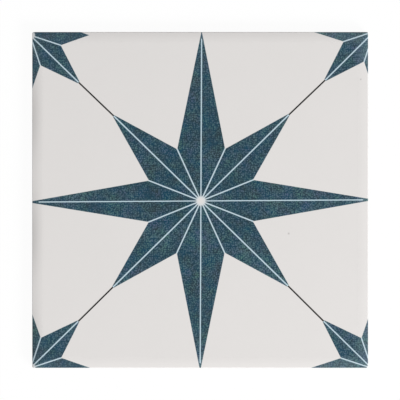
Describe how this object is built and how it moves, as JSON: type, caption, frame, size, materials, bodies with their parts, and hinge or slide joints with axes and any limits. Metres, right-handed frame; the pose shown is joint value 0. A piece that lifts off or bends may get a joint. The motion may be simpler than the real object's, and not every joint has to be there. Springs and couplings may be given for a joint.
{
  "type": "pool tile",
  "caption": "Square glazed ceramic tile with a rolled face edge, a printed eight-pointed star and a ribbed back that keys into adhesive.",
  "frame": {"origin": "middle of the back, on the crests of its ribs", "axes": "+Z out of the glazed face, +X and +Y along the edges, +Y towards the top of the picture"},
  "size_m": [0.2, 0.2, 0.009],
  "materials": {
    "glazed_body": "satin off-white glaze with a dull blue print, bare fired body on the back"
  },
  "bodies": {
    "root": {"tile": "glazed_body"}
  },
  "joints": []
}
